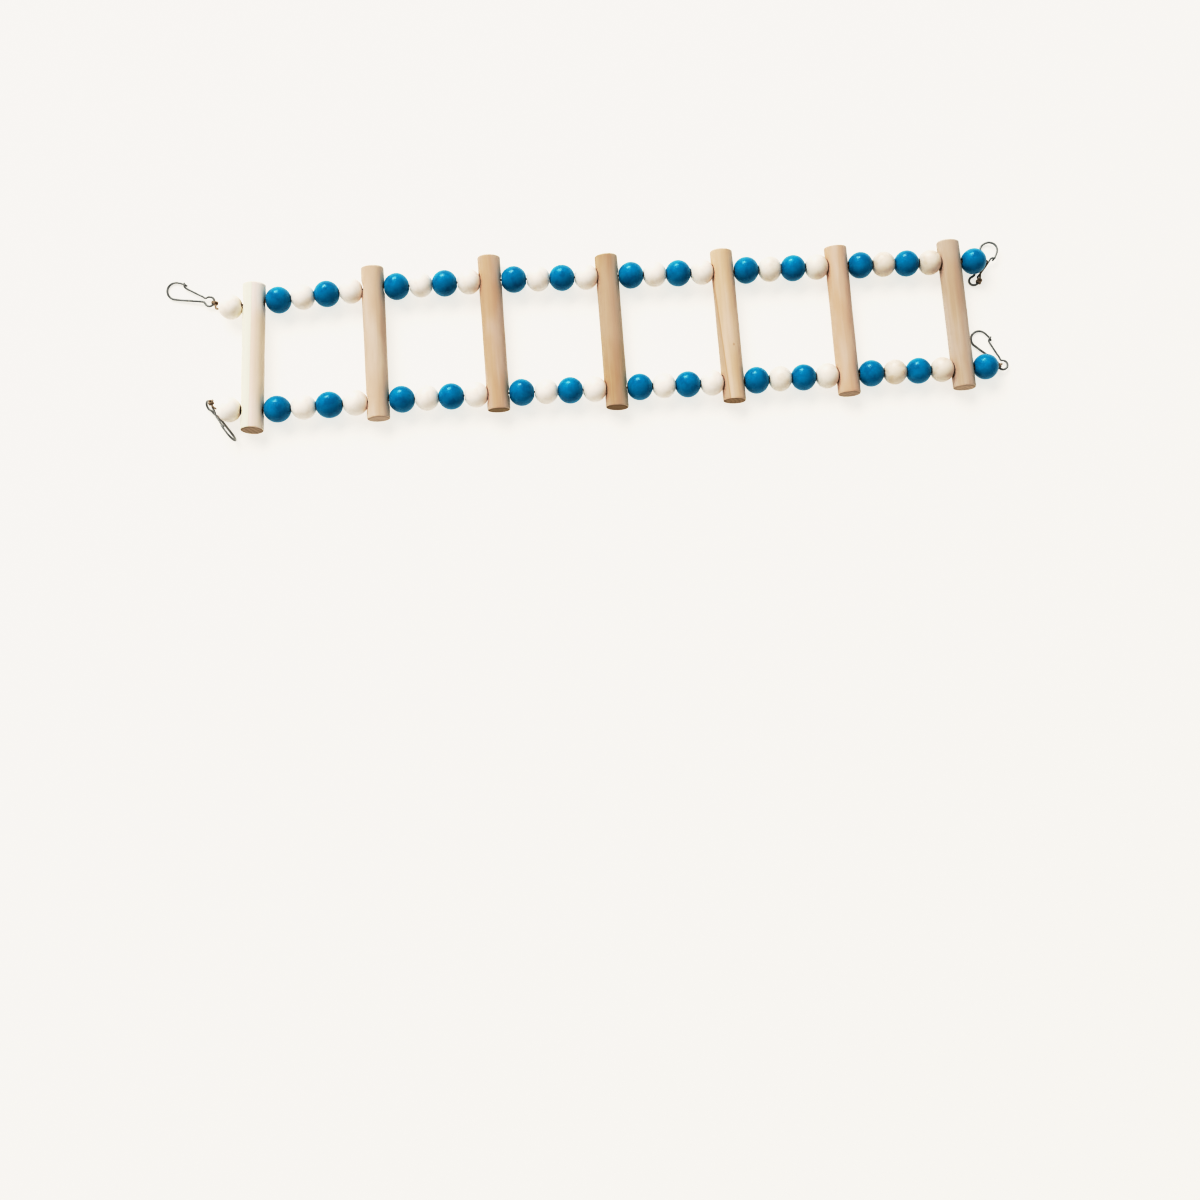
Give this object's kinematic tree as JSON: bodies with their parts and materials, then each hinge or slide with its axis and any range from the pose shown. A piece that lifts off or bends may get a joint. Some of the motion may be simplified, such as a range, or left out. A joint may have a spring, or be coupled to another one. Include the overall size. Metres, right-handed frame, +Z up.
{
  "type": "beaded bird ladder",
  "caption": "Flexible bird ladder: round wooden rungs on two strings, kept apart by painted wooden beads, with a wire snap hook at each corner for hanging it in a cage.",
  "frame": {"origin": "bottom centre of the whole ladder's box, on the table it lies on", "axes": "+X along the ladder, +Y across it along the rungs, +Z up"},
  "size_m": [0.5112, 0.1034, 0.0165],
  "materials": {
    "natural_wood": "bare sanded wood",
    "blue_paint": "blue satin paint on wood",
    "white_paint": "white satin paint on wood",
    "blue_and_white_paint": "one white and one blue bead, satin paint on wood",
    "steel_wire": "bright bent wire",
    "brown_cord": "thin twisted cord"
  },
  "bodies": {
    "rung_4": {"rung_4": "natural_wood", "upper_string": "brown_cord", "lower_string": "brown_cord"},
    "bay_4_near": {"upper_bay_4_bead_1_blue": "blue_paint", "lower_bay_4_bead_1_blue": "blue_paint"},
    "bay_4_upper": {"upper_bay_4_beads_2_3_white_blue": "blue_and_white_paint"},
    "bay_4_lower": {"lower_bay_4_beads_2_3_white_blue": "blue_and_white_paint"},
    "bay_4_far": {"upper_bay_4_bead_4_white": "white_paint", "lower_bay_4_bead_4_white": "white_paint"},
    "rung_5": {"rung_5": "natural_wood"},
    "bay_5_near": {"upper_bay_5_bead_1_blue": "blue_paint", "lower_bay_5_bead_1_blue": "blue_paint"},
    "bay_5_upper": {"upper_bay_5_beads_2_3_white_blue": "blue_and_white_paint"},
    "bay_5_lower": {"lower_bay_5_beads_2_3_white_blue": "blue_and_white_paint"},
    "bay_5_far": {"upper_bay_5_bead_4_white": "white_paint", "lower_bay_5_bead_4_white": "white_paint"},
    "rung_6": {"rung_6": "natural_wood"},
    "bay_6_near": {"upper_bay_6_bead_1_blue": "blue_paint", "lower_bay_6_bead_1_blue": "blue_paint"},
    "bay_6_upper": {"upper_bay_6_beads_2_3_white_blue": "blue_and_white_paint"},
    "bay_6_lower": {"lower_bay_6_beads_2_3_white_blue": "blue_and_white_paint"},
    "bay_6_far": {"upper_bay_6_bead_4_white": "white_paint", "lower_bay_6_bead_4_white": "white_paint"},
    "rung_7": {"rung_7": "natural_wood"},
    "bay_3_near": {"upper_bay_3_bead_4_white": "white_paint", "lower_bay_3_bead_4_white": "white_paint"},
    "bay_3_upper": {"upper_bay_3_beads_2_3_white_blue": "blue_and_white_paint"},
    "bay_3_lower": {"lower_bay_3_beads_2_3_white_blue": "blue_and_white_paint"},
    "bay_3_far": {"upper_bay_3_bead_1_blue": "blue_paint", "lower_bay_3_bead_1_blue": "blue_paint"},
    "rung_3": {"rung_3": "natural_wood"},
    "bay_2_near": {"upper_bay_2_bead_4_white": "white_paint", "lower_bay_2_bead_4_white": "white_paint"},
    "bay_2_upper": {"upper_bay_2_beads_2_3_white_blue": "blue_and_white_paint"},
    "bay_2_lower": {"lower_bay_2_beads_2_3_white_blue": "blue_and_white_paint"},
    "bay_2_far": {"upper_bay_2_bead_1_blue": "blue_paint", "lower_bay_2_bead_1_blue": "blue_paint"},
    "rung_2": {"rung_2": "natural_wood"},
    "bay_1_near": {"upper_bay_1_bead_4_white": "white_paint", "lower_bay_1_bead_4_white": "white_paint"},
    "bay_1_upper": {"upper_bay_1_beads_2_3_white_blue": "blue_and_white_paint"},
    "bay_1_lower": {"lower_bay_1_beads_2_3_white_blue": "blue_and_white_paint"},
    "bay_1_far": {"upper_bay_1_bead_1_blue": "blue_paint", "lower_bay_1_bead_1_blue": "blue_paint"},
    "rung_1": {"rung_1": "natural_wood"},
    "upper_left_end_bead": {"upper_left_end_bead_white": "white_paint"},
    "upper_left_hook": {"upper_left_hook": "steel_wire"},
    "upper_left_gate": {"upper_left_hook_gate": "steel_wire"},
    "lower_left_end_bead": {"lower_left_end_bead_white": "white_paint"},
    "lower_left_hook": {"lower_left_hook": "steel_wire"},
    "lower_left_gate": {"lower_left_hook_gate": "steel_wire"},
    "upper_right_end_bead": {"upper_right_end_bead_blue": "blue_paint"},
    "upper_right_hook": {"upper_right_hook": "steel_wire"},
    "upper_right_gate": {"upper_right_hook_gate": "steel_wire"},
    "lower_right_end_bead": {"lower_right_end_bead_blue": "blue_paint"},
    "lower_right_hook": {"lower_right_hook": "steel_wire"},
    "lower_right_gate": {"lower_right_hook_gate": "steel_wire"}
  },
  "joints": [
    {"name": "bay_4_fold_near", "type": "hinge", "parent": "rung_4", "child": "bay_4_near", "pos_m": [0.01778, 0.00083, 0.01047], "axis": [0, -1, 0], "range_deg": [0, 20], "deforming": ["upper_string", "lower_string"]},
    {"name": "bay_4_fold_far", "type": "hinge", "parent": "bay_4_far", "child": "rung_5", "pos_m": [0.07608, -0.00002, 0.01047], "axis": [0.0087, -1, 0], "range_deg": [0, 20], "deforming": ["upper_string", "lower_string"]},
    {"name": "bay_5_fold_near", "type": "hinge", "parent": "rung_5", "child": "bay_5_near", "pos_m": [0.08898, 0.00009, 0.01047], "axis": [0.0087, -1, 0], "range_deg": [0, 20], "deforming": ["upper_string", "lower_string"]},
    {"name": "bay_5_fold_far", "type": "hinge", "parent": "bay_5_far", "child": "rung_6", "pos_m": [0.14688, -0.00091, 0.01047], "axis": [0.007, -1, 0], "range_deg": [0, 20], "deforming": ["upper_string", "lower_string"]},
    {"name": "bay_6_fold_near", "type": "hinge", "parent": "rung_6", "child": "bay_6_near", "pos_m": [0.15978, -0.00082, 0.01047], "axis": [0.007, -1, 0], "range_deg": [0, 20], "deforming": ["upper_string", "lower_string"]},
    {"name": "bay_6_fold_far", "type": "hinge", "parent": "bay_6_far", "child": "rung_7", "pos_m": [0.21788, -0.00168, 0.01047], "axis": [0.0192, -0.9998, 0], "range_deg": [0, 20], "deforming": ["upper_string", "lower_string"]},
    {"name": "bay_3_fold_near", "type": "hinge", "parent": "rung_4", "child": "bay_3_near", "pos_m": [0.00488, 0.00083, 0.01047], "axis": [0, 1, 0], "range_deg": [0, 20], "deforming": ["upper_string", "lower_string"]},
    {"name": "bay_3_fold_far", "type": "hinge", "parent": "bay_3_far", "child": "rung_3", "pos_m": [-0.05362, 0.00412, 0.01047], "axis": [0.0017, 1, 0], "range_deg": [0, 20], "deforming": ["upper_string", "lower_string"]},
    {"name": "bay_2_fold_near", "type": "hinge", "parent": "rung_3", "child": "bay_2_near", "pos_m": [-0.06652, 0.00415, 0.01047], "axis": [0.0017, 1, 0], "range_deg": [0, 20], "deforming": ["upper_string", "lower_string"]},
    {"name": "bay_2_fold_far", "type": "hinge", "parent": "bay_2_far", "child": "rung_2", "pos_m": [-0.12502, 0.0024, 0.01047], "axis": [0.0192, 0.9998, 0], "range_deg": [0, 20], "deforming": ["upper_string", "lower_string"]},
    {"name": "bay_1_fold_near", "type": "hinge", "parent": "rung_2", "child": "bay_1_near", "pos_m": [-0.13794, 0.00265, 0.01047], "axis": [0.0192, 0.9998, 0], "range_deg": [0, 20], "deforming": ["upper_string", "lower_string"]},
    {"name": "bay_1_fold_far", "type": "hinge", "parent": "bay_1_far", "child": "rung_1", "pos_m": [-0.19787, -0.00227, 0.01047], "axis": [0.0698, 0.9976, 0], "range_deg": [0, 20], "deforming": ["upper_string", "lower_string"]},
    {"name": "bay_4_rack", "type": "hinge", "parent": "bay_4_near", "child": "bay_4_upper", "pos_m": [0.03283, 0.03469, 0.00806], "axis": [0, 0, 1], "range_deg": [-6, 6], "deforming": ["upper_string", "lower_string"]},
    {"name": "bay_5_rack", "type": "hinge", "parent": "bay_5_near", "child": "bay_5_upper", "pos_m": [0.10372, 0.03362, 0.00806], "axis": [0, 0, 1], "range_deg": [-6, 6], "deforming": ["upper_string", "lower_string"]},
    {"name": "bay_6_rack", "type": "hinge", "parent": "bay_6_near", "child": "bay_6_upper", "pos_m": [0.17451, 0.03253, 0.00806], "axis": [0, 0, 1], "range_deg": [-6, 6], "deforming": ["upper_string", "lower_string"]},
    {"name": "bay_3_rack", "type": "hinge", "parent": "bay_3_near", "child": "bay_3_upper", "pos_m": [-0.00917, 0.03551, 0.00806], "axis": [0, 0, 1], "range_deg": [-6, 6], "deforming": ["upper_string", "lower_string"]},
    {"name": "bay_2_rack", "type": "hinge", "parent": "bay_2_near", "child": "bay_2_upper", "pos_m": [-0.08039, 0.03656, 0.00806], "axis": [0, 0, 1], "range_deg": [-6, 6], "deforming": ["upper_string", "lower_string"]},
    {"name": "bay_1_rack", "type": "hinge", "parent": "bay_1_near", "child": "bay_1_upper", "pos_m": [-0.15145, 0.03472, 0.00806], "axis": [0, 0, 1], "range_deg": [-6, 6], "deforming": ["upper_string", "lower_string"]},
    {"name": "hook_upper_left_swing", "type": "hinge", "parent": "rung_1", "child": "upper_left_hook", "pos_m": [-0.22729, 0.03422, 0.00238], "axis": [0, 0, 1], "range_deg": [-35, 25], "deforming": ["upper_string", "lower_string"]},
    {"name": "hook_lower_left_swing", "type": "hinge", "parent": "rung_1", "child": "lower_left_hook", "pos_m": [-0.23334, -0.029, 0.00647], "axis": [0, 0, 1], "range_deg": [-110, 0], "deforming": ["upper_string", "lower_string"]},
    {"name": "hook_upper_right_swing", "type": "hinge", "parent": "rung_7", "child": "upper_right_hook", "pos_m": [0.24153, 0.01942, 0.00234], "axis": [0, 0, 1], "range_deg": [-60, 0], "deforming": ["upper_string", "lower_string"]},
    {"name": "hook_lower_right_swing", "type": "hinge", "parent": "rung_7", "child": "lower_right_hook", "pos_m": [0.24882, -0.03448, 0.00215], "axis": [0, 0, 1], "range_deg": [-110, 0], "deforming": ["upper_string", "lower_string"]},
    {"name": "hook_upper_left_gate", "type": "hinge", "parent": "upper_left_hook", "child": "upper_left_gate", "pos_m": [-0.23264, 0.038, 0.00201], "axis": [-0.0542, 0.0219, 0.9983], "range_deg": [0, 18], "stiffness_Nm_per_rad": 0.02, "springref_deg": -5.73},
    {"name": "hook_lower_left_gate", "type": "hinge", "parent": "lower_left_hook", "child": "lower_left_gate", "pos_m": [-0.23138, -0.03161, 0.00523], "axis": [0.8249, 0.5383, 0.1726], "range_deg": [0, 18], "stiffness_Nm_per_rad": 0.02, "springref_deg": -5.73},
    {"name": "hook_upper_right_gate", "type": "hinge", "parent": "upper_right_hook", "child": "upper_right_gate", "pos_m": [0.24183, 0.02303, 0.002], "axis": [-0.2634, 0.1124, 0.9581], "range_deg": [0, 18], "stiffness_Nm_per_rad": 0.02, "springref_deg": -5.73},
    {"name": "hook_lower_right_gate", "type": "hinge", "parent": "lower_right_hook", "child": "lower_right_gate", "pos_m": [0.25058, -0.03021, 0.00201], "axis": [-0.0345, 0.0472, 0.9983], "range_deg": [0, 18], "stiffness_Nm_per_rad": 0.02, "springref_deg": -5.73},
    {"name": "bay_4_rack_lower", "type": "hinge", "parent": "bay_4_near", "child": "bay_4_lower", "pos_m": [0.03299, -0.03472, 0.00806], "axis": [0, 0, 1], "range_deg": [-6, 6], "deforming": ["upper_string", "lower_string"]},
    {"name": "bay_4_rack_far", "type": "hinge", "parent": "bay_4_upper", "child": "bay_4_far", "pos_m": [0.06184, 0.03424, 0.00806], "axis": [0, 0, 1], "range_deg": [-6, 6], "deforming": ["upper_string", "lower_string"]},
    {"name": "bay_5_rack_lower", "type": "hinge", "parent": "bay_5_near", "child": "bay_5_lower", "pos_m": [0.10429, -0.03506, 0.00806], "axis": [0, 0, 1], "range_deg": [-6, 6], "deforming": ["upper_string", "lower_string"]},
    {"name": "bay_5_rack_far", "type": "hinge", "parent": "bay_5_upper", "child": "bay_5_far", "pos_m": [0.13271, 0.03322, 0.00806], "axis": [0, 0, 1], "range_deg": [-6, 6], "deforming": ["upper_string", "lower_string"]},
    {"name": "bay_6_rack_lower", "type": "hinge", "parent": "bay_6_near", "child": "bay_6_lower", "pos_m": [0.1752, -0.03528, 0.00806], "axis": [0, 0, 1], "range_deg": [-6, 6], "deforming": ["upper_string", "lower_string"]},
    {"name": "bay_6_rack_far", "type": "hinge", "parent": "bay_6_upper", "child": "bay_6_far", "pos_m": [0.20336, 0.032, 0.00806], "axis": [0, 0, 1], "range_deg": [-6, 6], "deforming": ["upper_string", "lower_string"]},
    {"name": "bay_3_rack_lower", "type": "hinge", "parent": "bay_3_near", "child": "bay_3_lower", "pos_m": [-0.0092, -0.0342, 0.00806], "axis": [0, 0, 1], "range_deg": [-6, 6], "deforming": ["upper_string", "lower_string"]},
    {"name": "bay_3_rack_far", "type": "hinge", "parent": "bay_3_upper", "child": "bay_3_far", "pos_m": [-0.0384, 0.03621, 0.00806], "axis": [0, 0, 1], "range_deg": [-6, 6], "deforming": ["upper_string", "lower_string"]},
    {"name": "bay_2_rack_lower", "type": "hinge", "parent": "bay_2_near", "child": "bay_2_lower", "pos_m": [-0.0808, -0.03324, 0.00806], "axis": [0, 0, 1], "range_deg": [-6, 6], "deforming": ["upper_string", "lower_string"]},
    {"name": "bay_2_rack_far", "type": "hinge", "parent": "bay_2_upper", "child": "bay_2_far", "pos_m": [-0.10935, 0.03632, 0.00806], "axis": [0, 0, 1], "range_deg": [-6, 6], "deforming": ["upper_string", "lower_string"]},
    {"name": "bay_1_rack_lower", "type": "hinge", "parent": "bay_1_near", "child": "bay_1_lower", "pos_m": [-0.15343, -0.03359, 0.00806], "axis": [0, 0, 1], "range_deg": [-6, 6], "deforming": ["upper_string", "lower_string"]},
    {"name": "bay_1_rack_far", "type": "hinge", "parent": "bay_1_upper", "child": "bay_1_far", "pos_m": [-0.18031, 0.03271, 0.00806], "axis": [0, 0, 1], "range_deg": [-6, 6], "deforming": ["upper_string", "lower_string"]},
    {"name": "end_bead_upper_left_spin", "type": "hinge", "parent": "rung_1", "child": "upper_left_end_bead", "pos_m": [-0.21659, 0.02969, 0.00806], "axis": [-0.9945, -0.1045, 0], "continuous": true},
    {"name": "end_bead_lower_left_spin", "type": "hinge", "parent": "rung_1", "child": "lower_left_end_bead", "pos_m": [-0.22074, -0.0328, 0.00806], "axis": [-0.9903, 0.1392, 0], "continuous": true},
    {"name": "end_bead_upper_right_spin", "type": "hinge", "parent": "rung_7", "child": "upper_right_end_bead", "pos_m": [0.23761, 0.03088, 0.00882], "axis": [0.9973, -0.0523, 0.0523], "continuous": true},
    {"name": "end_bead_lower_right_spin", "type": "hinge", "parent": "rung_7", "child": "lower_right_end_bead", "pos_m": [0.23884, -0.03551, 0.00806], "axis": [0.9998, 0.0175, 0], "continuous": true}
  ],
  "couplings": [
    {"joint": "bay_4_rack_lower", "follows": "bay_4_rack", "ratio": 1},
    {"joint": "bay_4_rack_far", "follows": "bay_4_rack", "ratio": -1},
    {"joint": "bay_5_rack_lower", "follows": "bay_5_rack", "ratio": 1},
    {"joint": "bay_5_rack_far", "follows": "bay_5_rack", "ratio": -1},
    {"joint": "bay_6_rack_lower", "follows": "bay_6_rack", "ratio": 1},
    {"joint": "bay_6_rack_far", "follows": "bay_6_rack", "ratio": -1},
    {"joint": "bay_3_rack_lower", "follows": "bay_3_rack", "ratio": 1},
    {"joint": "bay_3_rack_far", "follows": "bay_3_rack", "ratio": -1},
    {"joint": "bay_2_rack_lower", "follows": "bay_2_rack", "ratio": 1},
    {"joint": "bay_2_rack_far", "follows": "bay_2_rack", "ratio": -1},
    {"joint": "bay_1_rack_lower", "follows": "bay_1_rack", "ratio": 1},
    {"joint": "bay_1_rack_far", "follows": "bay_1_rack", "ratio": -1}
  ]
}
